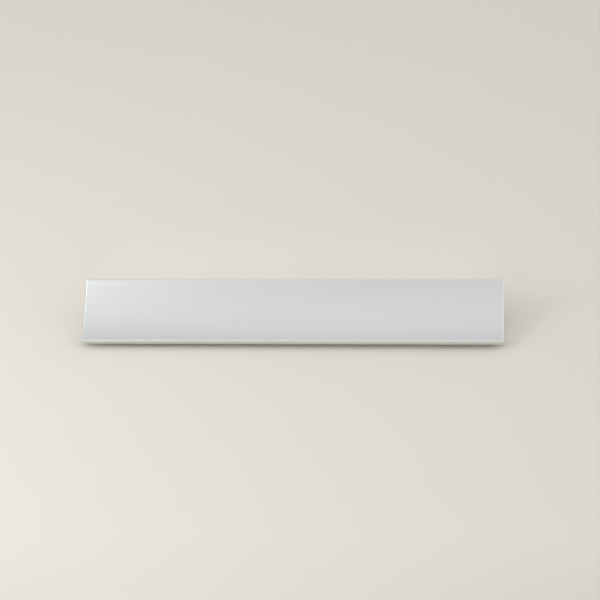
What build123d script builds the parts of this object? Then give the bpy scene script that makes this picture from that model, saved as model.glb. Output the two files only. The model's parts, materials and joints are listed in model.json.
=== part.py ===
from build123d import *

import os
from math import acos, cos, degrees, radians, sin, sqrt, tan

# Furniture handle: one sawn length of extruded aluminium profile.
# A thin blade, hollow on its visible face, climbs from a near edge just above the mounting face to a far edge
# that stands well clear of it. A foot behind the near edge carries the blade, and the fingers reach in behind
# the far edge. Origin on the mounting face, midway between the two tapped holes.
# X runs along the handle, Y from the near edge to the far edge, Z up from the mounting face. Millimetres.

# Whole profile
handle_length = 200.0
end_edge_radius = 0.75

# Blade
blade_width = 31.5
blade_thickness = 2.05
face_radius = 76.0
near_edge_rise = 22.2
near_edge_clearance = 2.4
blade_edge_radius = 0.4

# Foot
foot_width = 10.0
foot_setback = 5.5
foot_corner_radius = 0.4
foot_root_radius = 1.2

# Tapped holes, M4, blind: a bore at the thread's outer diameter, then the drilled core beyond it
hole_spacing = 160.0
thread_diameter = 4.0
thread_depth = 5.5
core_diameter = 3.3
core_runout = 1.0
hole_mouth_chamfer = 0.3
drill_point_angle = 118.0

# The foot is centred on the holes, and the near edge overhangs it by the setback.
foot_front = -foot_width / 2
foot_back = foot_width / 2
near_edge_y = foot_front - foot_setback

# The blade lies between two arcs about one centre, which is above the profile and on its near side. The near
# edge stands upright, so the back arc starts a little further round than the face arc. Both end on one radius.
back_radius = face_radius + blade_thickness
middle_radius = face_radius + blade_thickness / 2
swept_angle = degrees(blade_width / face_radius)
face_start = near_edge_rise - 90.0
centre_y = near_edge_y - face_radius * cos(radians(face_start))
back_start = -degrees(acos((near_edge_y - centre_y) / back_radius))
back_swept = face_start + swept_angle - back_start
centre_z = near_edge_clearance - back_radius * sin(radians(back_start))
blade_centre = (centre_y, centre_z)


def arc_height(radius, y):
    """Height at y of the arc of this radius about the blade's centre."""
    return centre_z - sqrt(radius**2 - (y - centre_y) ** 2)


with BuildPart() as tapped_hole:
    thread_radius = thread_diameter / 2
    core_radius = core_diameter / 2
    core_depth = thread_depth + core_runout
    point_length = core_radius / tan(radians(drill_point_angle / 2))
    with BuildSketch(Plane.XZ):
        with BuildLine():
            Polyline(
                (0, 0),
                (thread_radius + hole_mouth_chamfer, 0),
                (thread_radius, hole_mouth_chamfer),
                (thread_radius, thread_depth),
                (core_radius, thread_depth),
                (core_radius, core_depth),
                (0, core_depth + point_length),
                close=True,
            )
        make_face()
    revolve(axis=Axis.Z)

with BuildPart() as handle_profile:
    with BuildSketch(Plane.YZ) as section:
        # Blade, with its near edge upright and its far edge square to its faces
        with BuildLine():
            face_arc = CenterArc(blade_centre, face_radius, face_start, swept_angle)
            back_arc = CenterArc(blade_centre, back_radius, back_start, back_swept)
            Line(face_arc @ 0, back_arc @ 0)
            Line(face_arc @ 1, back_arc @ 1)
        make_face()
        # Foot, standing on the mounting face and ending inside the blade
        with BuildLine():
            Polyline(
                (foot_front, 0),
                (foot_back, 0),
                (foot_back, arc_height(middle_radius, foot_back)),
                (foot_front, arc_height(middle_radius, foot_front)),
                close=True,
            )
        make_face()
        # Roots of the foot, corners of its sole, then the blade's long edges
        for y in (foot_front, foot_back):
            root = (y, arc_height(back_radius, y))
            fillet(section.vertices().sort_by_distance(root)[0], radius=foot_root_radius)
        fillet(section.vertices().group_by(Axis.Y)[0], radius=foot_corner_radius)
        for corner in (face_arc @ 0, face_arc @ 1, back_arc @ 0, back_arc @ 1):
            fillet(section.vertices().sort_by_distance(corner)[0], radius=blade_edge_radius)
    extrude(amount=handle_length / 2, both=True)

    # Ends, sawn square and broken all round
    sawn_ends = handle_profile.faces().filter_by(Axis.X)
    fillet(sawn_ends.edges(), radius=end_edge_radius)

    # Tapped holes, drilled up into the foot from the mounting face
    with GridLocations(hole_spacing, 0, 2, 1):
        add(tapped_hole.part, mode=Mode.SUBTRACT)

handle_profile.part.label = "handle_profile"

os.makedirs("parts", exist_ok=True)
export_step(handle_profile.part, "parts/handle_profile.step")
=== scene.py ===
import bpy
import json
import math
from mathutils import Matrix, Vector


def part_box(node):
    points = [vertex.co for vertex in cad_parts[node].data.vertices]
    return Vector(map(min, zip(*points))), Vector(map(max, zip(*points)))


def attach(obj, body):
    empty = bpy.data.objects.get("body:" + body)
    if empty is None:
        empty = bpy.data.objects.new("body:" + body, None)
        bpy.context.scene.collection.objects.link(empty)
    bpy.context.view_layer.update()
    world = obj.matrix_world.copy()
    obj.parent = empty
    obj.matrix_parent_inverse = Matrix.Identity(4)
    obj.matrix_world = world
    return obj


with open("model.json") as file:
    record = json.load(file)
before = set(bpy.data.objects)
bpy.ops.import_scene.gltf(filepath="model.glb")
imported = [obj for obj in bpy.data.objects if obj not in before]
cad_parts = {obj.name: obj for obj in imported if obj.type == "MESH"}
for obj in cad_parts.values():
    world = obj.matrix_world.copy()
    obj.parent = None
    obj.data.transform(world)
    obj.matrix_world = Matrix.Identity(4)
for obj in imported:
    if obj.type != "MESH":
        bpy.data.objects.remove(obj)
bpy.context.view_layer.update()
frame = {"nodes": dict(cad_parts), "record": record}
print("frame loaded:", sorted(frame["nodes"]))

mm = 0.001
handle = frame["nodes"]["handle_profile"]
handleLow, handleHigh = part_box("handle_profile")
screws = next(mount for mount in frame["record"]["mounts"] if mount["name"] == "mounting_screws")
holeSpacing = screws["dims"]["spacing_x_mm"] * mm
boreRadius = screws["dims"]["hole_r_mm"] * mm


# Camera, at the photograph's viewing angle
cameraSpec = {
    "azimuth": 6.22,  # degrees, to the right of square on
    "elevation": 34.0,
    "roll": -3.43,
    "distance": 1057.2 * mm,
    "aim": (4.53 * mm, -1.5 * mm, 21.81 * mm),
    "lens": 135.0,  # millimetres, as the sensor's width is
    "sensor": 36.0,
    "clip": (0.05, 20.0),  # metres
}


def addObject(name, data):
    made = bpy.data.objects.new(name, data)
    bpy.context.scene.collection.objects.link(made)
    return made


def addCamera(spec):
    turn, tilt = math.radians(spec["azimuth"]), math.radians(spec["elevation"])
    back = Vector((math.sin(turn) * math.cos(tilt), -math.cos(turn) * math.cos(tilt), math.sin(tilt)))
    level = (-back).to_track_quat("-Z", "Y").to_matrix()
    rolled = level @ Matrix.Rotation(math.radians(spec["roll"]), 3, "Z")
    data = bpy.data.cameras.new("camera")
    data.lens = spec["lens"]
    data.sensor_width = spec["sensor"]
    data.clip_start, data.clip_end = spec["clip"]
    camera = addObject("camera", data)
    place = Vector(spec["aim"]) + back * spec["distance"]
    camera.matrix_world = Matrix.Translation(place) @ rolled.to_4x4()
    bpy.context.scene.camera = camera


addCamera(cameraSpec)
print("camera placed")


# Node trees as expressions: a wire is one output socket, and sums and products of wires add Math nodes
class Wire:
    def __init__(self, sheet, socket):
        self.sheet = sheet
        self.socket = socket

    def out(self, name):  # another output of the same node
        return Wire(self.sheet, self.socket.node.outputs[name])

    def maths(self, operation, *values):
        return self.sheet.node("ShaderNodeMath", {"operation": operation}, dict(enumerate(values)))

    def __add__(self, other):
        return self.maths("ADD", self, other)

    def __radd__(self, other):
        return self.maths("ADD", other, self)

    def __sub__(self, other):
        return self.maths("SUBTRACT", self, other)

    def __rsub__(self, other):
        return self.maths("SUBTRACT", other, self)

    def __mul__(self, other):
        return self.maths("MULTIPLY", self, other)

    def __rmul__(self, other):
        return self.maths("MULTIPLY", other, self)

    def __truediv__(self, other):
        return self.maths("DIVIDE", self, other)

    def __rtruediv__(self, other):
        return self.maths("DIVIDE", other, self)

    def __pow__(self, other):
        return self.maths("POWER", self, other)

    def __abs__(self):
        return self.maths("ABSOLUTE", self)

    def atMost(self, other):
        return self.maths("MINIMUM", self, other)

    def atLeast(self, other):
        return self.maths("MAXIMUM", self, other)

    def step(self, low, high):  # 0 up to low, 1 from high on, smooth between
        return self.sheet.node("ShaderNodeMapRange", {"interpolation_type": "SMOOTHSTEP"},
                               {"Value": self, "From Min": low, "From Max": high})


class Sheet:  # a node tree being drawn, for a finish or for a shape
    def __init__(self, tree):
        self.tree = tree

    def node(self, kind, settings=None, sockets=None, output=0):
        made = self.tree.nodes.new(kind)
        for name, value in (settings or {}).items():
            setattr(made, name, value)
        for name, value in (sockets or {}).items():
            if isinstance(value, Wire):
                self.tree.links.new(value.socket, made.inputs[name])
            else:
                made.inputs[name].default_value = value
        return Wire(self, made.outputs[output]) if len(made.outputs) else None

    def places(self):  # the object's own coordinates, whole and apart, in metres
        whole = self.node("ShaderNodeTexCoord", output="Object")
        apart = self.node("ShaderNodeSeparateXYZ", {}, {"Vector": whole})
        return whole, apart.out("X"), apart.out("Y"), apart.out("Z")

    def vector(self, x, y, z):
        return self.node("ShaderNodeCombineXYZ", {}, {"X": x, "Y": y, "Z": z})

    def stretched(self, place, share):  # a pattern then runs on along X
        return self.node("ShaderNodeMapping", {}, {"Vector": place, "Scale": (share, 1.0, 1.0)})

    def noise(self, place, size, detail=2.0):  # centred on 0, about -0.5 to 0.5
        sockets = {"Vector": place, "Scale": 1.0 / size, "Detail": detail}
        return self.node("ShaderNodeTexNoise", {}, sockets) - 0.5

    def blend(self, factor, first, second):  # two colours
        sockets = {0: factor, 6: first, 7: second}
        return self.node("ShaderNodeMix", {"data_type": "RGBA"}, sockets, output=2)

    def blendVector(self, factor, first, second):
        sockets = {0: factor, 4: first, 5: second}
        return self.node("ShaderNodeMix", {"data_type": "VECTOR"}, sockets, output=1)


def newFinish(name):
    material = bpy.data.materials.new(name)
    material.use_nodes = True
    material.node_tree.nodes.clear()
    return material, Sheet(material.node_tree)


# Satin anodised aluminium, etched and undyed, as it left the die and the saw
anodised = {
    "colour": (0.692, 0.712, 0.707, 1.0),
    "streakColour": (0.672, 0.692, 0.687, 1.0),
    "boreColour": (0.66, 0.655, 0.64, 1.0),
    "paintedHighlightColour": (0.81, 0.81, 0.80, 1.0),  # painted highlight: a lighter colour on the near edge's upper corner, standing in for the light line it catches
    "paintedHighlightReach": (0.12 * mm, 0.27 * mm),  # from the sharp corner, over which it goes out
    "roughness": 0.42,
    "toneSize": 55.0 * mm,  # slow changes of sheen
    "toneStrength": 0.05,
    "streakSize": 1.6 * mm,  # across the soft streaks of the etched profile
    "streakStretch": 0.004,
    "streakStrength": 0.05,
    "lineSize": 0.22 * mm,  # across the fine lines that the die leaves
    "lineStretch": 0.002,
    "lineHeight": 0.003 * mm,
    "grainSize": 0.09 * mm,  # the etch's matt grain
    "grainHeight": 0.0015 * mm,
    "sawCentre": (-46.0 * mm, -118.0 * mm),  # of the saw blade, in Y and Z
    "sawLineSize": 0.32 * mm,
    "sawHeight": 0.02 * mm,
    "sawRoughness": 0.07,  # added on the sawn ends
    "sawSkin": (0.01 * mm, 0.06 * mm),  # in from an end, over which its saw marks go out
    "endBreak": 0.75 * mm,  # rounding of the end edges
    "breakPolish": 0.06,  # taken off the roughness there
    "breakFull": 0.6,  # share of the rounding, from the end, that is polished in full
    "faceRadius": 76.0 * mm,  # of the blade's hollow face
    "bladeThickness": 2.05 * mm,
    "nearEdgeRise": 22.2,  # degrees, the face's slope at its near edge
    "nearEdgeClearance": 2.4 * mm,  # above the mounting face
    "faceSpan": (-9.8 * mm, 14.8 * mm),  # in Y, clear of the corners
    "faceFade": 0.2 * mm,  # to either side of the span's ends
    "faceSkin": (0.20 * mm, 0.25 * mm),  # below the rounding, where the mesh's own slope comes back
    "boreReach": (2.35 * mm, 2.40 * mm),  # from a hole's axis, just past its chamfer
    "boreDepth": (8.0 * mm, 8.1 * mm),  # just past the drill's point
    "boreRoughness": 0.30,
}


def diagonal(first, second):
    return (first ** 2.0 + second ** 2.0) ** 0.5


def arcCentre(spec):  # of the blade's face and back, in Y and Z
    reach = spec["faceRadius"] * math.sin(math.radians(spec["nearEdgeRise"]))
    backRadius = spec["faceRadius"] + spec["bladeThickness"]
    return handleLow.y - reach, spec["nearEdgeClearance"] + math.sqrt(backRadius ** 2 - reach ** 2)


# The frame's mesh is coarse where the face rounds over to the sawn ends, and its shading breaks up there.
# This takes the slope from the blade's own arc instead, on the half of its thickness next to the face.
def smoothFace(sheet, spec, x, y, z):
    centreY, centreZ = arcCentre(spec)
    straight = handleHigh.x - spec["endBreak"]
    rounded = spec["faceRadius"] + spec["endBreak"]
    awayY, awayZ = y - centreY, z - centreZ
    away = diagonal(awayY, awayZ)
    depth = (away - rounded).atMost(0.0) / away
    sideways = x - x.atMost(straight).atLeast(-1.0 * straight)
    slope = sheet.node("ShaderNodeVectorMath", {"operation": "NORMALIZE"},
                       {0: sheet.vector(sideways, awayY * depth, awayZ * depth)})
    (low, high), fade = spec["faceSpan"], spec["faceFade"]
    blade = y.step(low - fade, low + fade) * (1.0 - y.step(high - fade, high + fade))
    nearFace = 1.0 - (away - rounded).step(*spec["faceSkin"])
    return sheet.blendVector(blade * nearFace, sheet.node("ShaderNodeNewGeometry", output="Normal"), slope)


def makeAnodised(spec):
    material, sheet = newFinish("satinAnodised")
    place, x, y, z = sheet.places()
    fromEnd = handleHigh.x - abs(x)
    endFace = 1.0 - fromEnd.step(*spec["sawSkin"])
    rounding = 1.0 - fromEnd.step(spec["breakFull"] * spec["endBreak"], spec["endBreak"])
    fromHole = diagonal(abs(x) - holeSpacing / 2, y)
    bore = (1.0 - fromHole.step(*spec["boreReach"])) * (1.0 - z.step(*spec["boreDepth"]))

    tone = sheet.noise(place, spec["toneSize"], detail=1.0)
    streaks = sheet.noise(sheet.stretched(place, spec["streakStretch"]), spec["streakSize"], detail=3.0)
    lines = sheet.noise(sheet.stretched(place, spec["lineStretch"]), spec["lineSize"])
    grain = sheet.noise(place, spec["grainSize"])
    sawY, sawZ = spec["sawCentre"]
    fromSaw = diagonal(y - sawY, z - sawZ)
    saw = sheet.node("ShaderNodeTexNoise", {"noise_dimensions": "1D"},
                     {"W": fromSaw / spec["sawLineSize"], "Scale": 1.0, "Detail": 2.0}) - 0.5

    drawn = 1.0 - endFace.atLeast(bore)  # where the die's lines still show
    height = (lines * spec["lineHeight"] * drawn + grain * spec["grainHeight"]
              + saw * spec["sawHeight"] * endFace)
    bump = sheet.node("ShaderNodeBump", {}, {"Height": height, "Distance": 1.0, "Strength": 1.0,
                                             "Normal": smoothFace(sheet, spec, x, y, z)})
    roughness = (spec["roughness"] + tone * spec["toneStrength"] + streaks * spec["streakStrength"] * drawn
                 + endFace * spec["sawRoughness"] - rounding * (1.0 - endFace) * spec["breakPolish"]
                 - bore * (spec["roughness"] - spec["boreRoughness"]))
    streaked = sheet.blend((streaks + 0.5) * drawn, spec["colour"], spec["streakColour"])
    centreY, centreZ = arcCentre(spec)
    cornerY = handleLow.y  # the sharp corner where the face meets the near edge
    cornerZ = centreZ - math.sqrt(spec["faceRadius"] ** 2 - (cornerY - centreY) ** 2)
    fromCorner = diagonal(y - cornerY, z - cornerZ)
    # Painted highlight: the near edge's upper corner is lightened to stand in for the highlight line there
    highlighted = sheet.blend(fromCorner.step(*spec["paintedHighlightReach"]), spec["paintedHighlightColour"], streaked)
    colour = sheet.blend(bore, highlighted, spec["boreColour"])
    shader = sheet.node("ShaderNodeBsdfPrincipled", {},
                        {"Base Color": colour, "Metallic": 1.0, "Roughness": roughness, "Normal": bump})
    sheet.node("ShaderNodeOutputMaterial", {}, {"Surface": shader})
    return material


anodisedFinish = makeAnodised(anodised)
handle.data.materials.clear()
handle.data.materials.append(anodisedFinish)
print("handle finished")


# Thread ridges in the two tapped holes, M4 coarse, standing in from the bores' walls
thread = {
    "Pitch": 0.7 * mm,
    "Wall Radius": boreRadius,
    "Ridge Height": 0.35 * mm,
    "Root Width": 0.60 * mm,  # along the hole, where a ridge leaves the wall
    "Crest Width": 0.17 * mm,
    "Seat": 0.01 * mm,  # sunk into the wall, so that no gap shows
    "Start": 0.55 * mm,  # above the mounting face
    "Turns": 6.2,
    "Lead In": 0.6,  # turns over which a ridge grows at the mouth
    "Run Out": 1.4,  # and over which it dies away
    "Hole Spacing": holeSpacing,
    "Finish": anodisedFinish,
}
pointsPerTurn = 40
leastGrowth = 0.02  # share of its section that a ridge keeps at its two ends


def drawThread(spec):
    group = bpy.data.node_groups.new("threadRidges", "GeometryNodeTree")
    for name, value in spec.items():
        kind = "NodeSocketMaterial" if isinstance(value, bpy.types.Material) else "NodeSocketFloat"
        group.interface.new_socket(name, in_out="INPUT", socket_type=kind)
    group.interface.new_socket("Geometry", in_out="OUTPUT", socket_type="NodeSocketGeometry")
    sheet = Sheet(group)
    given = sheet.node("NodeGroupInput")

    rootHalf, crestHalf = given.out("Root Width") / 2.0, given.out("Crest Width") / 2.0
    seat = given.out("Seat")  # X of the section points away from the hole's axis
    crest = -1.0 * given.out("Ridge Height")
    section = sheet.node("GeometryNodeCurvePrimitiveQuadrilateral", {"mode": "POINTS"},
                         {"Point 1": sheet.vector(seat, rootHalf, 0.0),
                          "Point 2": sheet.vector(crest, crestHalf, 0.0),
                          "Point 3": sheet.vector(crest, -1.0 * crestHalf, 0.0),
                          "Point 4": sheet.vector(seat, -1.0 * rootHalf, 0.0)})
    turns, wall = given.out("Turns"), given.out("Wall Radius")
    helix = sheet.node("GeometryNodeCurveSpiral", {},
                       {"Resolution": pointsPerTurn, "Rotations": turns, "Start Radius": wall,
                        "End Radius": wall, "Height": turns * given.out("Pitch"), "Reverse": True})
    upright = sheet.node("GeometryNodeSetCurveNormal", {"mode": "Z_UP"}, {"Curve": helix})
    along = sheet.node("GeometryNodeSplineParameter", output="Factor") * turns
    growth = (along / given.out("Lead In")).atMost((turns - along) / given.out("Run Out"))
    growth = growth.atMost(1.0).atLeast(leastGrowth)
    ridgeMesh = sheet.node("GeometryNodeCurveToMesh", {}, {"Curve": upright, "Profile Curve": section,
                                                           "Scale": growth, "Fill Caps": True})
    spacing = given.out("Hole Spacing")
    firstHole = sheet.vector(spacing / -2.0, 0.0, given.out("Start"))
    nextHole = sheet.vector(spacing, 0.0, 0.0)
    holes = sheet.node("GeometryNodeMeshLine", {}, {"Count": 2, "Start Location": firstHole,
                                                    "Offset": nextHole})
    copies = sheet.node("GeometryNodeInstanceOnPoints", {}, {"Points": holes, "Instance": ridgeMesh})
    real = sheet.node("GeometryNodeRealizeInstances", {}, {"Geometry": copies})
    finished = sheet.node("GeometryNodeSetMaterial", {},
                          {"Geometry": real, "Material": given.out("Finish")})
    sheet.node("NodeGroupOutput", {}, {"Geometry": finished})
    return group


def addThreads(spec):
    host = addObject("threadHost", bpy.data.meshes.new("threadHost"))
    modifier = host.modifiers.new("threadRidges", "NODES")
    modifier.node_group = drawThread(spec)
    for socket in modifier.node_group.interface.items_tree:
        if socket.in_out == "INPUT":
            modifier[socket.identifier] = spec[socket.name]
    grown = host.evaluated_get(bpy.context.evaluated_depsgraph_get())
    threads = addObject("screw_threads", bpy.data.meshes.new_from_object(grown))
    bpy.data.objects.remove(host)
    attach(threads, "root")
    return threads


threads = addThreads(thread)
print("threads cut:", len(threads.data.polygons), "faces")


# Floor
floorSpec = {
    "halfSize": 3.0,  # metres
    "colour": (0.728, 0.695, 0.623, 1.0),
    "shade": (0.721, 0.688, 0.617, 1.0),
    "frontPaintedShade": (0.648, 0.619, 0.554, 1.0),  # painted shade: a darker floor well in front of the handle, standing in for the light falling off there
    "frontSpan": (-215.0 * mm, -140.0 * mm),  # in Y, over which it comes in
    "frontHalfWidth": 140.0 * mm,  # from the middle to where it is full
    "frontMiddle": 0.35,  # its share at the middle
    "backPaintedLight": (0.764, 0.730, 0.654, 1.0),  # painted light: a lighter floor just past the handle's far edge, offsetting the handle's own shade there
    "backStart": (0.0, 30.0 * mm),  # in Y, over which it comes in
    "backEnd": (50.0 * mm, 110.0 * mm),  # and over which it goes out
    "backSides": (80.0 * mm, 110.0 * mm),  # to the left and right, over which it goes out
    "patchSize": 90.0 * mm,
    "grainSize": 0.8 * mm,
    "grainHeight": 0.01 * mm,
    "roughness": 0.9,
}


def addFloor(spec):
    reach = spec["halfSize"]
    mesh = bpy.data.meshes.new("floor")
    corners = [(-reach, -reach, 0.0), (reach, -reach, 0.0), (reach, reach, 0.0), (-reach, reach, 0.0)]
    mesh.from_pydata(corners, [], [(0, 1, 2, 3)])
    floor = addObject("floor", mesh)
    material, sheet = newFinish("paleFloor")
    place, x, y, _ = sheet.places()
    patches = sheet.noise(place, spec["patchSize"]) + 0.5
    grain = sheet.noise(place, spec["grainSize"], detail=3.0)
    # Painted shade: the floor darkens well in front of the handle, more towards the sides
    outward = (abs(x) / spec["frontHalfWidth"]).atMost(1.0) ** 2.0
    share = spec["frontMiddle"] + outward * (1.0 - spec["frontMiddle"])
    paintedFrontShade = (1.0 - y.step(*spec["frontSpan"])) * share
    # Painted light: the floor is lightened just past the handle's far edge, where its shade falls
    paintedBackLight = y.step(*spec["backStart"]) * (1.0 - y.step(*spec["backEnd"]))
    paintedBackLight = paintedBackLight * (1.0 - abs(x).step(*spec["backSides"]))
    plain = sheet.blend(patches, spec["colour"], spec["shade"])
    colour = sheet.blend(paintedBackLight, sheet.blend(paintedFrontShade, plain, spec["frontPaintedShade"]), spec["backPaintedLight"])
    bump = sheet.node("ShaderNodeBump", {}, {"Height": grain * spec["grainHeight"], "Distance": 1.0})
    shader = sheet.node("ShaderNodeBsdfPrincipled", {},
                        {"Base Color": colour, "Roughness": spec["roughness"], "Normal": bump})
    sheet.node("ShaderNodeOutputMaterial", {}, {"Surface": shader})
    mesh.materials.append(material)


addFloor(floorSpec)
print("floor laid")


# Light
lamps = {  # direction from the handle, distance and size in metres, power in watts
    "keyFront": {"toward": (-1.21, -0.85, 1.0), "distance": 0.6, "size": 0.25, "power": 0.736},
    "side": {"toward": (-1.8, -0.1, 1.0), "distance": 0.75, "size": 0.55, "power": 0.559},
    "upLeft": {"toward": (-0.5, -0.2, 1.0), "distance": 0.9, "size": 0.35, "power": 0.222},
    "front": {"toward": (0.0, -0.35, 1.0), "distance": 1.6, "size": 0.7, "power": 0.405},
    "frontLow": {"toward": (-0.3, -1.8, 1.0), "distance": 1.6, "size": 0.8, "power": 2.247},
    "top": {"toward": (0.0, 0.0, 1.0), "distance": 1.6, "size": 0.7, "power": 0.756},
    "topRight": {"toward": (0.4, -0.4, 1.0), "distance": 1.6, "size": 0.7, "power": 0.483},
}
sky = {  # strength all round, and what each side adds to it
    "colour": (1.0, 1.0, 1.0, 1.0),
    "everywhere": 0.485,
    "left": 0.341,
    "right": 0.901,
}


def addLamp(name, spec):
    data = bpy.data.lights.new(name, "AREA")
    data.shape = "DISK"
    data.size = spec["size"]
    data.energy = spec["power"]
    lamp = addObject(name, data)
    away = Vector(spec["toward"]).normalized()
    lamp.location = away * spec["distance"]
    lamp.rotation_euler = away.to_track_quat("Z", "Y").to_euler()


for lampName, lampSpec in lamps.items():
    addLamp(lampName, lampSpec)


def addSky(spec):
    world = bpy.data.worlds.new("studio")
    bpy.context.scene.world = world
    world.use_nodes = True
    world.node_tree.nodes.clear()
    sheet = Sheet(world.node_tree)
    toward = sheet.node("ShaderNodeTexCoord", output="Generated")
    x = sheet.node("ShaderNodeSeparateXYZ", {}, {"Vector": toward}).out("X")
    strength = spec["everywhere"] + x.atLeast(0.0) * spec["right"] - x.atMost(0.0) * spec["left"]
    light = sheet.node("ShaderNodeBackground", {}, {"Color": spec["colour"], "Strength": strength})
    sheet.node("ShaderNodeOutputWorld", {}, {"Surface": light})


addSky(sky)
bpy.context.scene.view_settings.view_transform = "Standard"
print("lights set")
